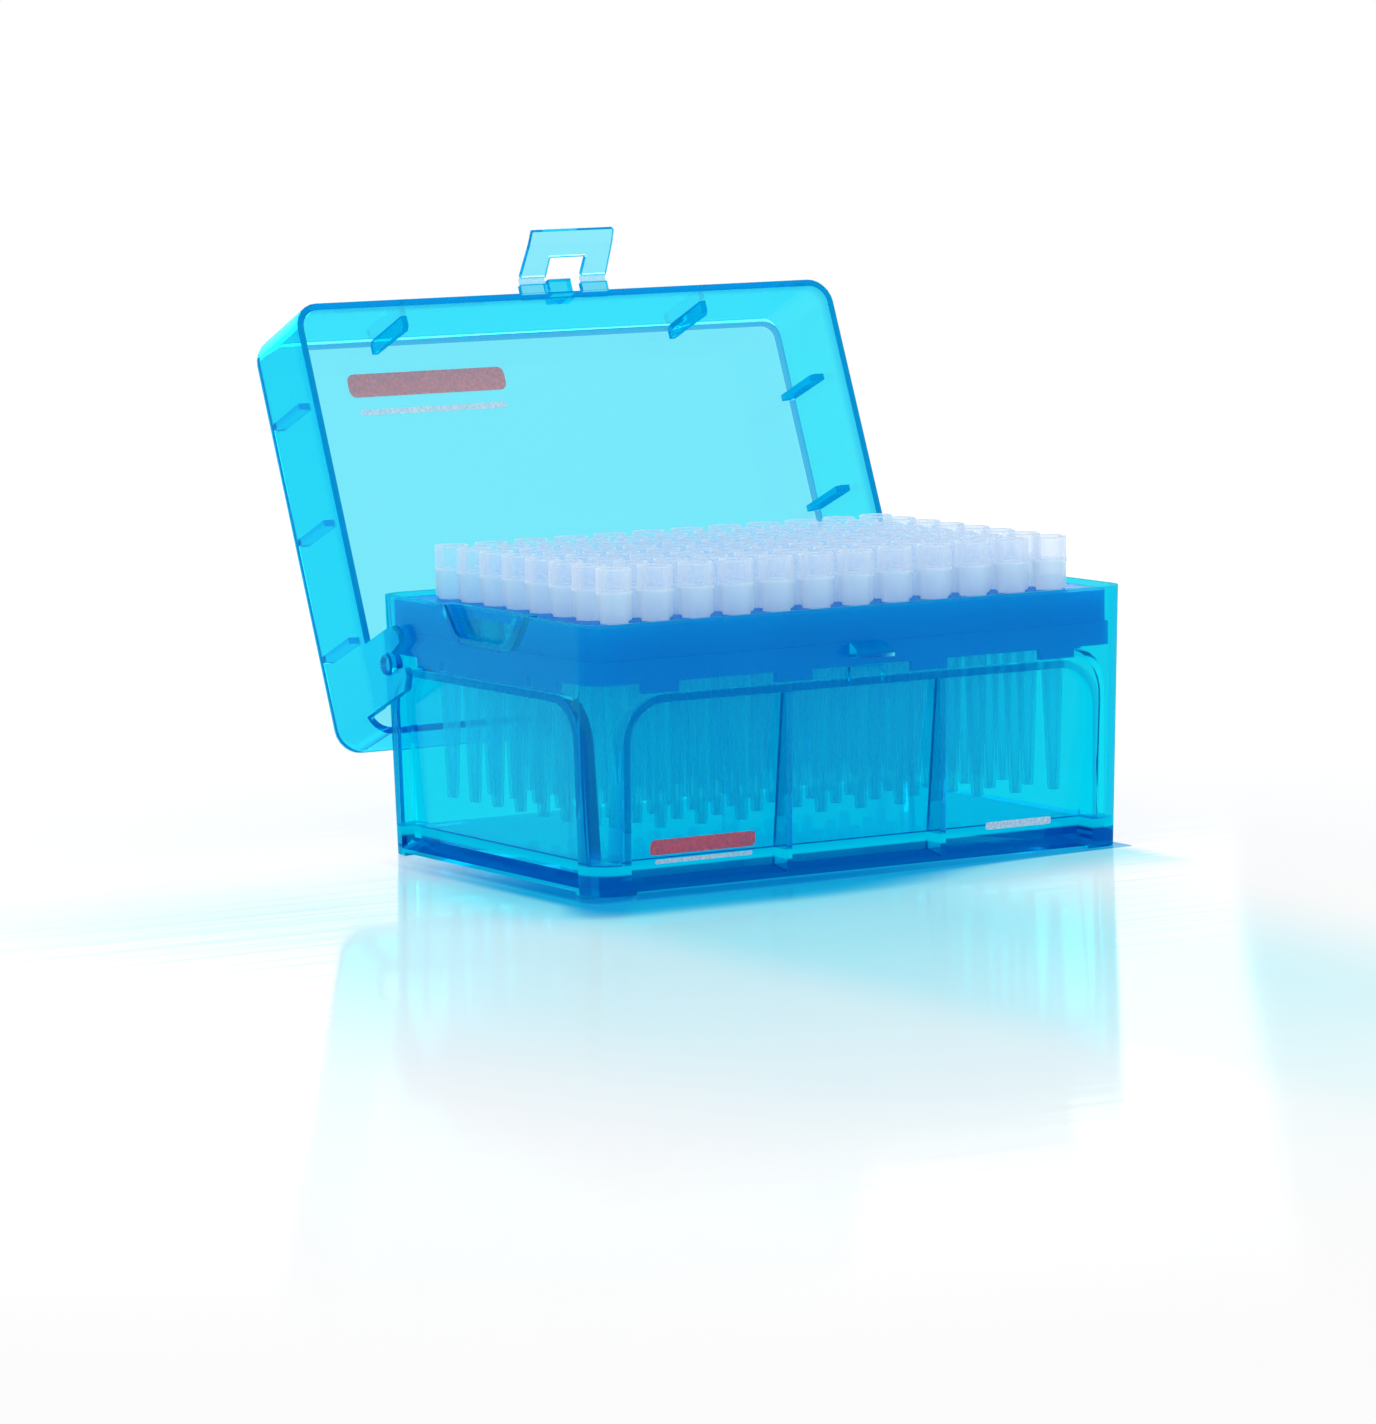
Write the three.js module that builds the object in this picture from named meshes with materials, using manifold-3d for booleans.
// Box of filtered pipette tips: a hinged box of translucent polypropylene that carries 96 tips in a
// lift-out rack. Millimetres, +Z up. X runs along the box, -Y is the front with the latch, +Y the
// hinge side. The sizes below are counted from the middle of the base, on the surface that the box
// stands on. The finished group is then moved along Y, so that its origin is under the middle of
// the whole object with its lid open.
import * as THREE from 'three';
import { mergeVertices } from 'three/addons/utils/BufferGeometryUtils.js';
import Module from 'manifold-3d';

const wasm = await Module();
wasm.setup();

// ---- driving sizes -------------------------------------------------------------------------------

const CLEARANCE = 0.35;          // between parts that slide past each other
const REST_GAP = 0.3;            // between a part and the seat that it rests on

// tips: the standard grid, and one tip from its mouth down
const COLUMNS = 12;
const ROWS = 8;
const PITCH = 9;
const TIP_LENGTH = 50;
const TIP_COLLAR_LENGTH = 10.2;
const TIP_COLLAR_RADIUS = 3.4;
const TIP_MOUTH_RADIUS = 2.8;
const TIP_NECK_RADIUS = 2.75;
const TIP_END_RADIUS = 1.15;
const TIP_FILTER_DEPTH = 9;
const TIP_FILTER_RADIUS = 2.35;
const TIP_SIDES = 8;

// base
const END_MARGIN = 11.85;        // from the outer tips' centres to the end faces
const SIDE_MARGIN = 10.7;        // and to the front and rear faces
const TIP_FLOOR_GAP = 5.2;       // air between the ends of the tips and the floor
const BASE_DRAFT = 1.08;         // how far each side leans in at the bottom
const BASE_CORNER = 6;
const WALL = 1.5;
const FOOT_LIFT = 0.6;           // the skirt clears the table by this between the corner feet
const STACK_RECESS_INSET = 8.6;
const STACK_RECESS_HEIGHT = 4.4;
const STACK_RECESS_CHAMFER = 7;

// sunk panels between the corner posts, below a plain band
const BAND_HEIGHT = 15.3;
const PANEL_LIP = 1.4;
const PANEL_CORNER = 7.5;
const SIDE_POST_WIDTH = 8.9;     // on the two long sides
const SIDE_PANEL_FOOT = 2.4;
const SIDE_PANEL_SINK = 2.2;
const SIDE_PANEL_SINK_FOOT = 6.5;
const END_POST_WIDTH = 7.4;      // on the two ends
const END_PANEL_FOOT = 3.4;
const END_PANEL_SINK = 2.2;
const END_PANEL_SINK_FOOT = 3.9;
const SIDE_PANEL_BAYS = 3;
const FIN_THICKNESS = 1.2;

// scoops pressed into both ends of the rim
const SCOOP_TOP_WIDTH = 26.8;
const SCOOP_FOOT_WIDTH = 16;
const SCOOP_HEIGHT = 6;
const SCOOP_SINK = 2.2;

// catch on the front of the base, and the small guard rail under it
const CATCH_WIDTH = 7.6;
const CATCH_HEIGHT = 2.9;
const CATCH_BELOW_RIM = 9.6;     // to its underside
const CATCH_REACH = 4.2;
const CATCH_LEDGE = 0.7;
const GUARD_WIDTH = 8.4;
const GUARD_BELOW_RIM = 11.5;
const GUARD_BAR = 0.9;

// hinge
const HINGE_INSET = 8.8;         // from the rear face of the base
const HINGE_DROP = 13.2;         // below its rim
const LID_OPEN_ANGLE = 112.5;
const PIN_RADIUS = 2;
const PIN_SIDES = 16;
const SEAT_CLEARANCE = 0.3;
const PIN_STAND_OUT = 2.6;       // past the end face of the base
const EAR_WIDTH = 13.4;
const EAR_BELOW_PIN = 6.2;
const EAR_CORNER = 2.6;
const EAR_SLOT_WIDTH = 3.2;
const EAR_SLOT_FLARE = 1;

// lid, described shut
const LID_WALL = 1.4;
const LID_TOP = 1.6;
const LID_OVERLAP = 5.6;         // how far the rim comes down over the base
const LID_HEADROOM = 5.5;        // above the tips
const LID_SIDE_CLEARANCE = 0.45;
const LID_FRONT_CLEARANCE = 1.1; // wider, because the front wall swings inward as it lifts
const LID_DRAFT = 0.4;
const LID_CORNER = 5.2;
const LID_EDGE = 2.4;
const RIB_REACH = 2.7;
const RIB_THICKNESS = 1.3;
const RIB_CHAMFER = 0.8;
const SIDE_RIB_LIFT = 1.6;       // the ribs on the ends stop this much higher than the front ones
const SIDE_RIB_PITCH = 24.7;
const SIDE_RIB_OFFSET = 1;       // the middle rib is this far in front of the middle
const FRONT_RIB_SPACING = 70.8;

// latch, described hanging straight down from its fold
const LATCH_WIDTH = 20.4;
const LATCH_LENGTH = 11.4;
const LATCH_THICKNESS = 1.2;
const LATCH_TAPER = 0.6;
const LATCH_LIP = 3;
const LATCH_LIP_ANGLE = 8;
const LATCH_SHUT_LEAN = 14;
const LATCH_REST_ANGLE = 54;     // from shut to where it stands with the lid open
const STRIP_HEIGHT = 1.3;
const STRIP_REACH = 2;
const FOLD_GAP = 0.45;
const FOLD_ABOVE_RIM = 0.9;
const BOSS_WIDTH = 5.2;
const BOSS_HEIGHT = 3;
const BOSS_LIFT = 1.5;           // from the underside of the strips
const BOSS_REACH = 3.4;

// rack
const RACK_BELOW_RIM = 0.8;
const RACK_PLATE = 1.6;
const RACK_INSET = 2.75;
const RACK_WALL = 1.2;
const RACK_CORNER = 0.6;
const RACK_STEP_BELOW_TOP = 6.3;
const RACK_SKIRT_HEIGHT = 10.7;
const RACK_FOOT_WIDTH = 8;
const HOLE_CLEARANCE = 0.4;

// ---- sizes that follow ---------------------------------------------------------------------------

const BASE_LENGTH = (COLUMNS - 1) * PITCH + 2 * END_MARGIN;
const BASE_DEPTH = (ROWS - 1) * PITCH + 2 * SIDE_MARGIN;
const FLOOR_TOP = STACK_RECESS_HEIGHT + WALL;
const TIP_BOTTOM = FLOOR_TOP + TIP_FLOOR_GAP;
const TIP_TOP = TIP_BOTTOM + TIP_LENGTH;
const TIP_SHOULDER = TIP_TOP - TIP_COLLAR_LENGTH;
const RACK_TOP = TIP_SHOULDER - REST_GAP;
const BASE_HEIGHT = RACK_TOP + RACK_BELOW_RIM;
const PANEL_TOP = BASE_HEIGHT - BAND_HEIGHT;
const SHELF = PANEL_TOP + WALL;
const CATCH_FOOT = BASE_HEIGHT - CATCH_BELOW_RIM;
const HINGE_Y = BASE_DEPTH / 2 - HINGE_INSET;
const HINGE_Z = BASE_HEIGHT - HINGE_DROP;
const LID_RIM = BASE_HEIGHT - LID_OVERLAP;
const LID_ROOF = TIP_TOP + LID_HEADROOM + LID_TOP;
const LID_OUT_X = BASE_LENGTH / 2 + LID_SIDE_CLEARANCE + LID_WALL;
const LID_FRONT = -(BASE_DEPTH / 2 + LID_FRONT_CLEARANCE + LID_WALL);
const LID_REAR = BASE_DEPTH / 2 + CLEARANCE + LID_WALL;
const FOLD_Y = LID_FRONT - STRIP_REACH - FOLD_GAP - LATCH_THICKNESS / 2;
const FOLD_Z = LID_RIM + FOLD_ABOVE_RIM;
const WINDOW_WIDTH = CATCH_WIDTH + 2 * CLEARANCE;
const FAR = 200;                 // past everything, for cutting blocks
const TOUCH = 1e-3;              // two points this close are one

const radians = THREE.MathUtils.degToRad;

// ---- helpers -------------------------------------------------------------------------------------

// A closed three.js geometry as a solid that can be cut and joined.
function solid(geometry) {
  const bare = geometry.index ? geometry.toNonIndexed() : geometry.clone();
  bare.deleteAttribute('normal');
  bare.deleteAttribute('uv');
  const merged = mergeVertices(bare, 1e-5);
  const mesh = new wasm.Mesh({
    numProp: 3,
    vertProperties: Float32Array.from(merged.attributes.position.array),
    triVerts: Uint32Array.from(merged.index.array),
  });
  mesh.merge();
  return new wasm.Manifold(mesh);
}

function namedMesh(name, body, material) {
  const { vertProperties, triVerts } = body.getMesh();
  const geometry = new THREE.BufferGeometry();
  geometry.setAttribute('position', new THREE.BufferAttribute(vertProperties, 3));
  geometry.setIndex(new THREE.BufferAttribute(triVerts, 1));
  geometry.computeVertexNormals();
  const mesh = new THREE.Mesh(geometry, material);
  mesh.name = name;
  return mesh;
}

function joined(solids) {
  return wasm.Manifold.union(solids);
}

function block(x0, x1, y0, y1, z0, z1) {
  const box = new THREE.BoxGeometry(x1 - x0, y1 - y0, z1 - z0);
  return solid(box.translate((x0 + x1) / 2, (y0 + y1) / 2, (z0 + z1) / 2));
}

function roundedRectangle(halfX, halfY, radius) {
  const shape = new THREE.Shape();
  shape.absarc(halfX - radius, halfY - radius, radius, 0, Math.PI / 2);
  shape.absarc(radius - halfX, halfY - radius, radius, Math.PI / 2, Math.PI);
  shape.absarc(radius - halfX, radius - halfY, radius, Math.PI, Math.PI * 1.5);
  shape.absarc(halfX - radius, radius - halfY, radius, Math.PI * 1.5, Math.PI * 2);
  return shape;
}

// Moves every side inward in proportion to its distance from the level zFull, so that an upright
// block gets moulding draft. The side loses `draft` at the level zLean.
function lean(geometry, draft, zFull, zLean) {
  const p = geometry.attributes.position;
  for (let i = 0; i < p.count; i += 1) {
    const shift = draft * (zFull - p.getZ(i)) / (zFull - zLean);
    p.setX(i, p.getX(i) - Math.sign(p.getX(i)) * shift);
    p.setY(i, p.getY(i) - Math.sign(p.getY(i)) * shift);
  }
  return geometry;
}

function uprightBlock(halfX, halfY, radius, z0, z1, curveSegments = 3) {
  const shape = roundedRectangle(halfX, halfY, radius);
  const geometry = new THREE.ExtrudeGeometry(shape, { depth: z1 - z0, bevelEnabled: false, curveSegments });
  return geometry.translate(0, 0, z0);
}

// A straight-sided outline in the X-Z plane, run along Y from y0 to y1.
function plateAlongY(shape, y0, y1, curveSegments = 3) {
  const geometry = new THREE.ExtrudeGeometry(shape, { depth: y1 - y0, bevelEnabled: false, curveSegments });
  return geometry.rotateX(Math.PI / 2).translate(0, y1, 0);
}

// ---- base ----------------------------------------------------------------------------------------

// The space of one sunk panel on the front: an arch between two posts whose face leans inward to
// the bottom, and whose sill slopes back out to the lip. `grow` makes the same space one wall larger.
function panelSpace(halfWidth, halfDepth, panelFoot, sinkTop, sinkFoot, grow) {
  const half = halfWidth + grow;
  const top = PANEL_TOP + grow;
  const corner = PANEL_CORNER + grow;
  const shape = new THREE.Shape();
  shape.moveTo(-half, panelFoot);
  shape.lineTo(half, panelFoot);
  shape.absarc(half - corner, top - corner, corner, 0, Math.PI / 2);
  shape.absarc(corner - half, top - corner, corner, Math.PI / 2, Math.PI);
  const outside = -halfDepth - BASE_CORNER;
  const geometry = plateAlongY(shape, outside, 0);
  const p = geometry.attributes.position;
  const slope = (sinkFoot - sinkTop) / (PANEL_TOP - panelFoot);
  for (let i = 0; i < p.count; i += 1) {
    const z = p.getZ(i);
    const atFoot = z < panelFoot + TOUCH;
    if (p.getY(i) > outside + TOUCH) {
      p.setY(i, -halfDepth + sinkTop + slope * (PANEL_TOP - z) + grow);
    } else if (atFoot) {
      const run = BASE_CORNER + sinkFoot + grow;
      p.setZ(i, panelFoot - (panelFoot - PANEL_LIP) * run / (sinkFoot - BASE_DRAFT));
    }
  }
  return solid(geometry);
}

function sidePanels(grow) {
  const front = panelSpace(BASE_LENGTH / 2 - SIDE_POST_WIDTH, BASE_DEPTH / 2, SIDE_PANEL_FOOT,
    SIDE_PANEL_SINK, SIDE_PANEL_SINK_FOOT, grow);
  return joined([front, front.rotate([0, 0, 180])]);
}

function endPanels(grow) {
  const end = panelSpace(BASE_DEPTH / 2 - END_POST_WIDTH, BASE_LENGTH / 2, END_PANEL_FOOT,
    END_PANEL_SINK, END_PANEL_SINK_FOOT, grow);
  return joined([end.rotate([0, 0, 90]), end.rotate([0, 0, -90])]);
}

// Two thin upright fins divide each long panel in three, with their edges in the plane of the posts.
function panelFins() {
  const span = BASE_LENGTH - 2 * SIDE_POST_WIDTH;
  const fins = [];
  for (let i = 1; i < SIDE_PANEL_BAYS; i += 1) {
    const x = span * (i / SIDE_PANEL_BAYS - 0.5);
    fins.push(block(x - FIN_THICKNESS / 2, x + FIN_THICKNESS / 2, -FAR, FAR, PANEL_LIP, SHELF));
  }
  return joined(fins);
}

// The pressed-in scoop at the middle of each end of the rim.
function scoops(grow) {
  const foot = BASE_HEIGHT - SCOOP_HEIGHT - grow;
  const top = BASE_HEIGHT + WALL;
  const flare = (SCOOP_TOP_WIDTH - SCOOP_FOOT_WIDTH) / 2;
  const halfFoot = SCOOP_FOOT_WIDTH / 2 + grow;
  const halfTop = halfFoot + flare * (top - foot) / SCOOP_HEIGHT;
  const shape = new THREE.Shape();
  shape.moveTo(-halfTop, top);
  shape.quadraticCurveTo(-halfFoot - flare * 0.35, foot, -halfFoot, foot);
  shape.lineTo(halfFoot, foot);
  shape.quadraticCurveTo(halfFoot + flare * 0.35, foot, halfTop, top);
  const inner = -BASE_LENGTH / 2 + SCOOP_SINK + grow;
  const scoop = solid(plateAlongY(shape, -BASE_LENGTH / 2 - BASE_CORNER, inner, 4));
  return joined([scoop.rotate([0, 0, 90]), scoop.rotate([0, 0, -90])]);
}

function baseCatch() {
  const face = BASE_DEPTH / 2 - BASE_DRAFT * CATCH_BELOW_RIM / BASE_HEIGHT;
  const hook = new THREE.Shape();
  hook.moveTo(face - WALL / 2, CATCH_FOOT);
  hook.lineTo(face + CATCH_REACH, CATCH_FOOT);
  hook.lineTo(face + CATCH_REACH, CATCH_FOOT + CATCH_LEDGE);
  hook.lineTo(face, CATCH_FOOT + CATCH_HEIGHT);
  hook.lineTo(face - WALL / 2, CATCH_FOOT + CATCH_HEIGHT);
  const wedge = plateAlongY(hook, -CATCH_WIDTH / 2, CATCH_WIDTH / 2).rotateZ(-Math.PI / 2);
  const guardTop = BASE_HEIGHT - GUARD_BELOW_RIM;
  const low = face - BASE_DRAFT * (CATCH_FOOT - PANEL_TOP) / BASE_HEIGHT;
  const half = GUARD_WIDTH / 2;
  const outer = -low - GUARD_BAR;
  const inner = -low + WALL / 2;
  return joined([
    solid(wedge),
    block(-half, half, outer, inner, guardTop - GUARD_BAR, guardTop),
    block(-half, GUARD_BAR - half, outer, inner, PANEL_TOP + GUARD_BAR / 2, guardTop),
    block(half - GUARD_BAR, half, outer, inner, PANEL_TOP + GUARD_BAR / 2, guardTop),
  ]);
}

// Round pins on both end faces, on which the ears of the lid turn.
function hingePins() {
  const reach = PIN_STAND_OUT + WALL * 0.8;
  const geometry = new THREE.CylinderGeometry(PIN_RADIUS, PIN_RADIUS, reach, PIN_SIDES);
  geometry.rotateZ(Math.PI / 2).translate(BASE_LENGTH / 2 + PIN_STAND_OUT - reach / 2, HINGE_Y, HINGE_Z);
  const pin = solid(geometry);
  return joined([pin, pin.mirror([1, 0, 0])]);
}

// The rim of the base stands on four corner feet: the skirt between them is lifted off the table.
function footReliefs() {
  const x = BASE_LENGTH / 2 - BASE_DRAFT - SIDE_POST_WIDTH;
  const y = BASE_DEPTH / 2 - BASE_DRAFT - END_POST_WIDTH;
  return joined([
    block(-x, x, -FAR, FAR, -1, FOOT_LIFT),
    block(-FAR, FAR, -y, y, -1, FOOT_LIFT),
  ]);
}

function stackRecess() {
  const x = BASE_LENGTH / 2 - STACK_RECESS_INSET;
  const y = BASE_DEPTH / 2 - STACK_RECESS_INSET;
  const c = STACK_RECESS_CHAMFER;
  const shape = new THREE.Shape([
    new THREE.Vector2(c - x, -y), new THREE.Vector2(x - c, -y), new THREE.Vector2(x, c - y),
    new THREE.Vector2(x, y - c), new THREE.Vector2(x - c, y), new THREE.Vector2(c - x, y),
    new THREE.Vector2(-x, y - c), new THREE.Vector2(-x, c - y),
  ]);
  const geometry = new THREE.ExtrudeGeometry(shape, { depth: STACK_RECESS_HEIGHT + 1, bevelEnabled: false });
  return solid(geometry.translate(0, 0, -1));
}

function makeBase() {
  const outer = uprightBlock(BASE_LENGTH / 2, BASE_DEPTH / 2, BASE_CORNER, 0, BASE_HEIGHT);
  const inner = uprightBlock(BASE_LENGTH / 2 - WALL, BASE_DEPTH / 2 - WALL, BASE_CORNER - WALL,
    FLOOR_TOP, BASE_HEIGHT + 1);
  const cavity = solid(lean(inner, BASE_DRAFT, BASE_HEIGHT, 0))
    .subtract(sidePanels(WALL))
    .subtract(endPanels(WALL))
    .subtract(scoops(WALL));
  return solid(lean(outer, BASE_DRAFT, BASE_HEIGHT, 0))
    .subtract(cavity)
    .subtract(sidePanels(0).subtract(panelFins()))
    .subtract(endPanels(0))
    .subtract(scoops(0))
    .subtract(stackRecess())
    .subtract(footReliefs())
    .add(baseCatch())
    .add(hingePins());
}

// ---- lid, in its shut place ----------------------------------------------------------------------

// A block with upright rounded corners and a rounded upper edge, `inset` inside the lid's outside.
function roundedLidBlock(inset, top, edge) {
  const x = LID_OUT_X - inset;
  const y = (LID_REAR - LID_FRONT) / 2 - inset;
  const corner = LID_CORNER - inset;
  const shape = roundedRectangle(x - edge, y - edge, corner - edge);
  const foot = LID_RIM - EAR_WIDTH;
  const geometry = new THREE.ExtrudeGeometry(shape, {
    depth: top - edge - foot, bevelEnabled: true, bevelThickness: edge, bevelSize: edge, bevelSegments: 3,
    curveSegments: 3,
  });
  geometry.translate(0, 0, foot);
  lean(geometry, LID_DRAFT, LID_RIM, LID_ROOF);
  return solid(geometry.translate(0, (LID_REAR + LID_FRONT) / 2, 0));
}

// The lowest level that a rib at the distance y can reach down to. Most rest on the rim of the base
// when the lid is shut. One near the hinge ends higher, or it would strike the rear corner of the
// base as the lid swings back.
function ribFoot(y) {
  const rest = BASE_HEIGHT + REST_GAP;
  const corner = Math.hypot(HINGE_INSET, HINGE_DROP) + CLEARANCE;
  const run = Math.abs(HINGE_Y - y) - RIB_THICKNESS / 2;
  return run < corner ? Math.max(rest, HINGE_Z + Math.sqrt(corner * corner - run * run)) : rest;
}

// One thin chamfered blade that stands inside the wall at +X.
function ribPlate(foot) {
  const blade = new THREE.Shape();
  blade.moveTo(-RIB_REACH, LID_ROOF - LID_TOP / 2);
  blade.lineTo(-RIB_REACH, foot + RIB_CHAMFER);
  blade.lineTo(RIB_CHAMFER - RIB_REACH, foot);
  blade.lineTo(LID_DRAFT + LID_WALL / 2, foot);
  blade.lineTo(LID_DRAFT + LID_WALL / 2, LID_ROOF - LID_TOP / 2);
  return plateAlongY(blade, -RIB_THICKNESS / 2, RIB_THICKNESS / 2);
}

function lidRibs() {
  const ribs = [];
  for (const step of [-1, 0, 1]) {
    const y = step * SIDE_RIB_PITCH - SIDE_RIB_OFFSET;
    const right = solid(ribPlate(ribFoot(y) + SIDE_RIB_LIFT).translate(LID_OUT_X - LID_WALL - LID_DRAFT, y, 0));
    ribs.push(right, right.mirror([1, 0, 0]));
  }
  for (const side of [-1, 1]) {
    const front = ribPlate(ribFoot(LID_FRONT)).rotateZ(-Math.PI / 2);
    front.translate(side * FRONT_RIB_SPACING / 2, LID_FRONT + LID_WALL + LID_DRAFT, 0);
    ribs.push(solid(front));
  }
  return joined(ribs);
}

// An ear reaches down from each side wall and snaps over its pin through a slot open at the end.
function earOutline() {
  const half = EAR_WIDTH / 2;
  const foot = HINGE_Z - EAR_BELOW_PIN;
  const root = LID_RIM + LID_WALL;
  const seat = PIN_RADIUS + SEAT_CLEARANCE;
  const slot = EAR_SLOT_WIDTH / 2;
  const mouth = Math.asin(slot / seat);
  const down = -Math.PI / 2;
  const left = HINGE_Y - half;
  const right = HINGE_Y + half;
  const shape = new THREE.Shape();
  shape.moveTo(right, root);
  shape.lineTo(left, root);
  shape.absarc(left + EAR_CORNER, foot + EAR_CORNER, EAR_CORNER, Math.PI, Math.PI * 1.5);
  shape.lineTo(HINGE_Y - slot - EAR_SLOT_FLARE, foot);
  shape.absarc(HINGE_Y, HINGE_Z, seat, down - mouth, down + mouth, true);
  shape.lineTo(HINGE_Y + slot + EAR_SLOT_FLARE, foot);
  shape.absarc(right - EAR_CORNER, foot + EAR_CORNER, EAR_CORNER, Math.PI * 1.5, Math.PI * 2);
  return shape;
}

function lidEars() {
  const geometry = new THREE.ExtrudeGeometry(earOutline(), {
    depth: LID_WALL, bevelEnabled: false, curveSegments: 6,
  });
  geometry.rotateX(Math.PI / 2).rotateZ(Math.PI / 2).translate(LID_OUT_X - LID_WALL, 0, 0);
  const ear = solid(geometry);
  return joined([ear, ear.mirror([1, 0, 0])]);
}

// Two short strips that carry the fold of the latch, and a small boss between them.
function latchRoot() {
  const inside = LID_FRONT + LID_WALL;
  const z0 = FOLD_Z - STRIP_HEIGHT / 2;
  const z1 = FOLD_Z + STRIP_HEIGHT / 2;
  const front = LID_FRONT - STRIP_REACH;
  const boss = z0 + BOSS_LIFT;
  return joined([
    block(-LATCH_WIDTH / 2, -WINDOW_WIDTH / 2, front, inside, z0, z1),
    block(WINDOW_WIDTH / 2, LATCH_WIDTH / 2, front, inside, z0, z1),
    block(-BOSS_WIDTH / 2, BOSS_WIDTH / 2, LID_FRONT - BOSS_REACH, inside, boss, boss + BOSS_HEIGHT),
  ]);
}

function makeLid() {
  const below = block(-FAR, FAR, -FAR, FAR, -FAR, LID_RIM);
  const behindEars = block(-FAR, FAR, HINGE_Y + EAR_WIDTH / 2, FAR, -FAR, BASE_HEIGHT + CLEARANCE);
  const inner = roundedLidBlock(LID_WALL, LID_ROOF - LID_TOP, LID_EDGE - LID_WALL);
  return roundedLidBlock(0, LID_ROOF, LID_EDGE)
    .add(latchRoot())
    .subtract(below)
    .add(lidEars())
    .subtract(behindEars)
    .subtract(inner.subtract(lidRibs()));
}

// ---- latch, hanging from its fold at the origin ----------------------------------------------------

function makeLatch() {
  const half = LATCH_THICKNESS / 2;
  const bend = LATCH_LENGTH - LATCH_LIP;
  const lip = radians(LATCH_LIP_ANGLE);
  const endY = -LATCH_LIP * Math.sin(lip);
  const endZ = -bend - LATCH_LIP * Math.cos(lip);
  const side = new THREE.Shape();
  side.moveTo(half, 0);
  side.absarc(0, 0, half, 0, Math.PI);
  side.lineTo(-half, -bend);
  side.lineTo(endY - half, endZ);
  side.lineTo(endY + half, endZ);
  side.lineTo(half, -bend);
  const plate = plateAlongY(side, -LATCH_WIDTH / 2, LATCH_WIDTH / 2).rotateZ(Math.PI / 2);
  const outline = new THREE.Shape();
  outline.moveTo(-LATCH_WIDTH / 2, LATCH_THICKNESS);
  outline.lineTo(LATCH_TAPER - LATCH_WIDTH / 2, -LATCH_LENGTH);
  outline.lineTo(LATCH_WIDTH / 2 - LATCH_TAPER, -LATCH_LENGTH);
  outline.lineTo(LATCH_WIDTH / 2, LATCH_THICKNESS);
  const trim = solid(plateAlongY(outline, -LATCH_LENGTH, LATCH_LENGTH));
  const reach = (FOLD_Z - CATCH_FOOT + REST_GAP) / Math.cos(radians(LATCH_SHUT_LEAN));
  const window = block(-WINDOW_WIDTH / 2, WINDOW_WIDTH / 2, -FAR, FAR, -reach, FAR);
  return solid(plate).intersect(trim).subtract(window);
}

// ---- tips and rack -------------------------------------------------------------------------------

const tipX = (column) => (column - (COLUMNS - 1) / 2) * PITCH;
const tipY = (row) => (row - (ROWS - 1) / 2) * PITCH;

// Mouth and collar above the rack, a filter plug inside, and a long taper down to the blunt end.
// The collar starts at the level `shoulder`.
function tipGeometry(shoulder) {
  const points = [
    new THREE.Vector2(0, TIP_BOTTOM),
    new THREE.Vector2(TIP_END_RADIUS, TIP_BOTTOM),
    new THREE.Vector2(TIP_NECK_RADIUS, shoulder),
    new THREE.Vector2(TIP_COLLAR_RADIUS, shoulder),
    new THREE.Vector2(TIP_COLLAR_RADIUS, TIP_TOP),
    new THREE.Vector2(TIP_MOUTH_RADIUS, TIP_TOP),
    new THREE.Vector2(TIP_FILTER_RADIUS, TIP_TOP - TIP_FILTER_DEPTH),
    new THREE.Vector2(0, TIP_TOP - TIP_FILTER_DEPTH),
  ];
  return new THREE.LatheGeometry(points, TIP_SIDES).rotateX(Math.PI / 2);
}

// The outer tips are pieces of their own. The ones inside the grid are part of the rack solid.
function isOwnPiece(column, row) {
  const outerRow = row < 2 || row >= ROWS - 2;
  const endColumn = column === 0 || column === COLUMNS - 1;
  return outerRow || endColumn;
}

function rackShell(inset, z0, z1, height) {
  const outside = uprightBlock(BASE_LENGTH / 2 - inset, BASE_DEPTH / 2 - inset, BASE_CORNER - inset, z0, z1);
  const inside = uprightBlock(BASE_LENGTH / 2 - inset - RACK_WALL, BASE_DEPTH / 2 - inset - RACK_WALL,
    Math.max(BASE_CORNER - inset - RACK_WALL, RACK_CORNER), z0 - 1, z0 + height);
  return solid(outside).subtract(solid(inside));
}

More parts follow.
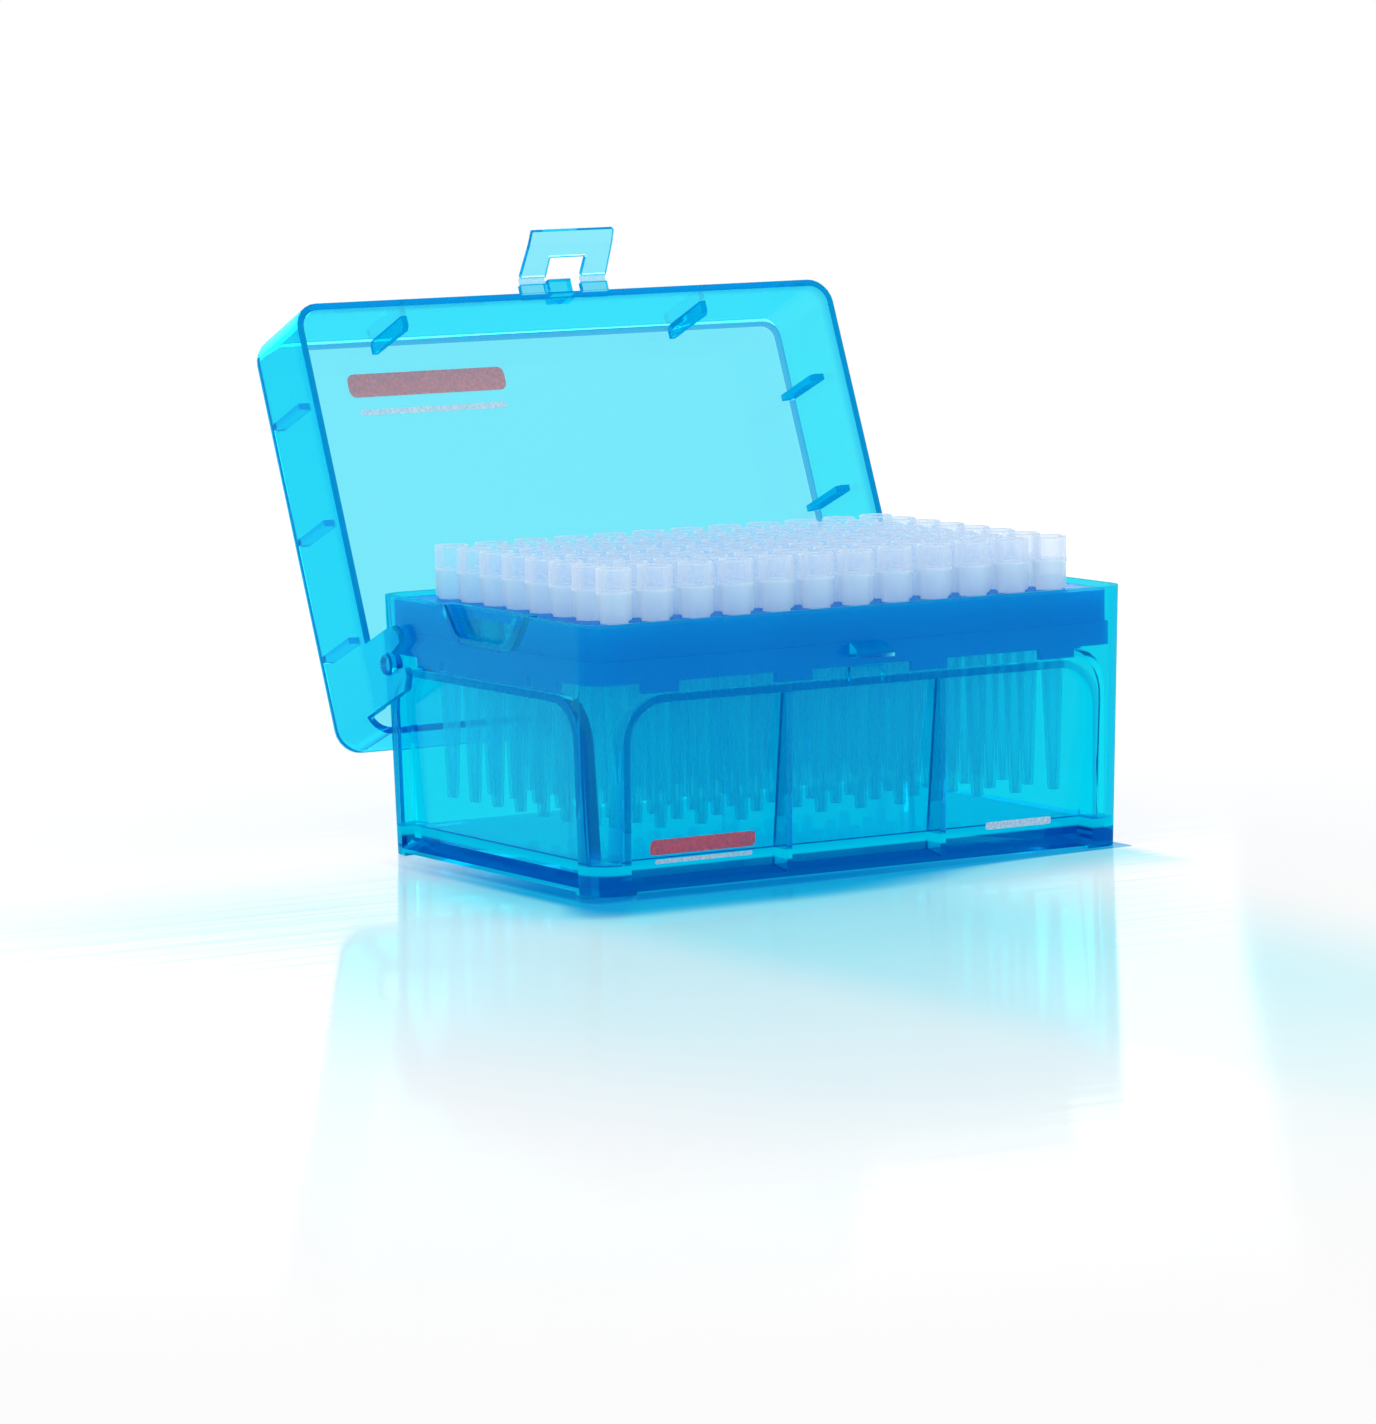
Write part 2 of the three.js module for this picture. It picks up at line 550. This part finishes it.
// The lower skirt stands on the shelf of the base with its feet, and is cut short between them.
function skirtCuts(skirtFoot, footTop) {
  const cuts = [];
  const frontFeet = [-1.5, -0.5, 0.5, 1.5].map((k) => k * (BASE_LENGTH / 4));
  const sideX = BASE_LENGTH / 2 - SIDE_POST_WIDTH - PANEL_CORNER;
  const edges = [-FAR];
  for (const x of frontFeet) {
    const place = Math.max(-sideX, Math.min(sideX, x));
    edges.push(place - RACK_FOOT_WIDTH / 2, place + RACK_FOOT_WIDTH / 2);
  }
  edges.push(FAR);
  const y = BASE_DEPTH / 2 - RACK_INSET - RACK_WALL - 1;
  for (let i = 0; i < edges.length; i += 2) {
    cuts.push(block(edges[i], edges[i + 1], y, FAR, skirtFoot - 1, footTop));
    cuts.push(block(edges[i], edges[i + 1], -FAR, -y, skirtFoot - 1, footTop));
  }
  const x = BASE_LENGTH / 2 - RACK_INSET - RACK_WALL - 1;
  const corner = BASE_DEPTH / 2 - END_POST_WIDTH - PANEL_CORNER;
  const slit = RACK_FOOT_WIDTH * 2;
  for (const side of [-1, 1]) {
    const near = side < 0 ? -FAR : x;
    const far = side < 0 ? -x : FAR;
    cuts.push(block(near, far, corner, FAR, skirtFoot - 1, footTop));
    cuts.push(block(near, far, -FAR, -corner, skirtFoot - 1, footTop));
    cuts.push(block(near, far, slit, slit + RACK_WALL * 2, skirtFoot - 1, footTop));
    cuts.push(block(near, far, -slit - RACK_WALL * 2, -slit, skirtFoot - 1, footTop));
  }
  return joined(cuts);
}

function makeRack() {
  const stepTop = RACK_TOP - RACK_STEP_BELOW_TOP;
  const lowerInset = WALL + CLEARANCE + BASE_DRAFT / 4;
  const skirtFoot = SHELF + REST_GAP;
  const footTop = RACK_TOP - RACK_SKIRT_HEIGHT;
  const room = RACK_INSET + RACK_WALL;
  const upperFoot = stepTop - RACK_WALL;
  const upper = rackShell(RACK_INSET, upperFoot, RACK_TOP, RACK_TOP - RACK_PLATE - upperFoot);
  const between = uprightBlock(BASE_LENGTH / 2 - room, BASE_DEPTH / 2 - room, RACK_CORNER, skirtFoot, RACK_TOP);
  const lower = rackShell(lowerInset, skirtFoot, stepTop, upperFoot - skirtFoot)
    .subtract(skirtCuts(skirtFoot, footTop))
    .subtract(solid(between));
  const tip = tipGeometry(RACK_TOP - RACK_PLATE / 2);
  const holeRadius = TIP_NECK_RADIUS + HOLE_CLEARANCE;
  const hole = new THREE.CylinderGeometry(holeRadius, holeRadius, RACK_PLATE * 3, TIP_SIDES);
  hole.rotateX(Math.PI / 2).translate(0, 0, RACK_TOP);
  const holes = [];
  const fixedTips = [];
  for (let row = 0; row < ROWS; row += 1) {
    for (let column = 0; column < COLUMNS; column += 1) {
      const own = isOwnPiece(column, row);
      const shape = own ? hole : tip;
      const list = own ? holes : fixedTips;
      list.push(solid(shape.clone().translate(tipX(column), tipY(row), 0)));
    }
  }
  return joined([upper, lower])
    .subtract(scoops(WALL + CLEARANCE))
    .subtract(joined(holes))
    .add(joined(fixedTips));
}

// ---- materials and assembly ----------------------------------------------------------------------

const bluePlastic = new THREE.MeshStandardMaterial({
  name: 'blue_polypropylene', color: 0x14b4ee, roughness: 0.18, metalness: 0, transparent: true, opacity: 0.6,
});
const clearPlastic = new THREE.MeshStandardMaterial({
  name: 'natural_polypropylene', color: 0xe6ecf6, roughness: 0.3, metalness: 0, transparent: true, opacity: 0.8,
});

const box = new THREE.Group();
box.add(namedMesh('base', makeBase(), bluePlastic));
box.add(namedMesh('rack', makeRack(), bluePlastic));

for (let row = 0; row < ROWS; row += 1) {
  for (let column = 0; column < COLUMNS; column += 1) {
    if (isOwnPiece(column, row)) {
      const name = `tip_${'ABCDEFGH'[ROWS - 1 - row]}${String(column + 1).padStart(2, '0')}`;
      const tip = namedMesh(name, solid(tipGeometry(TIP_SHOULDER)), clearPlastic);
      tip.position.set(tipX(column), tipY(row), 0);
      box.add(tip);
    }
  }
}

// The lid turns about its pins: its group sits on the hinge line, tipped back by the open angle.
const lidGroup = new THREE.Group();
lidGroup.position.set(0, HINGE_Y, HINGE_Z);
lidGroup.rotation.x = -radians(LID_OPEN_ANGLE);
const lidFrame = new THREE.Group();
lidFrame.position.set(0, -HINGE_Y, -HINGE_Z);
lidFrame.add(namedMesh('lid', makeLid(), bluePlastic));

// The latch stands off its shut place by the rest angle.
const latch = namedMesh('latch', makeLatch(), bluePlastic);
latch.position.set(0, FOLD_Y, FOLD_Z);
latch.rotation.x = radians(LATCH_SHUT_LEAN - LATCH_REST_ANGLE);
lidFrame.add(latch);
lidGroup.add(lidFrame);
box.add(lidGroup);

const extent = new THREE.Box3().setFromObject(box, true);
box.position.y = -(extent.min.y + extent.max.y) / 2;

export default box;
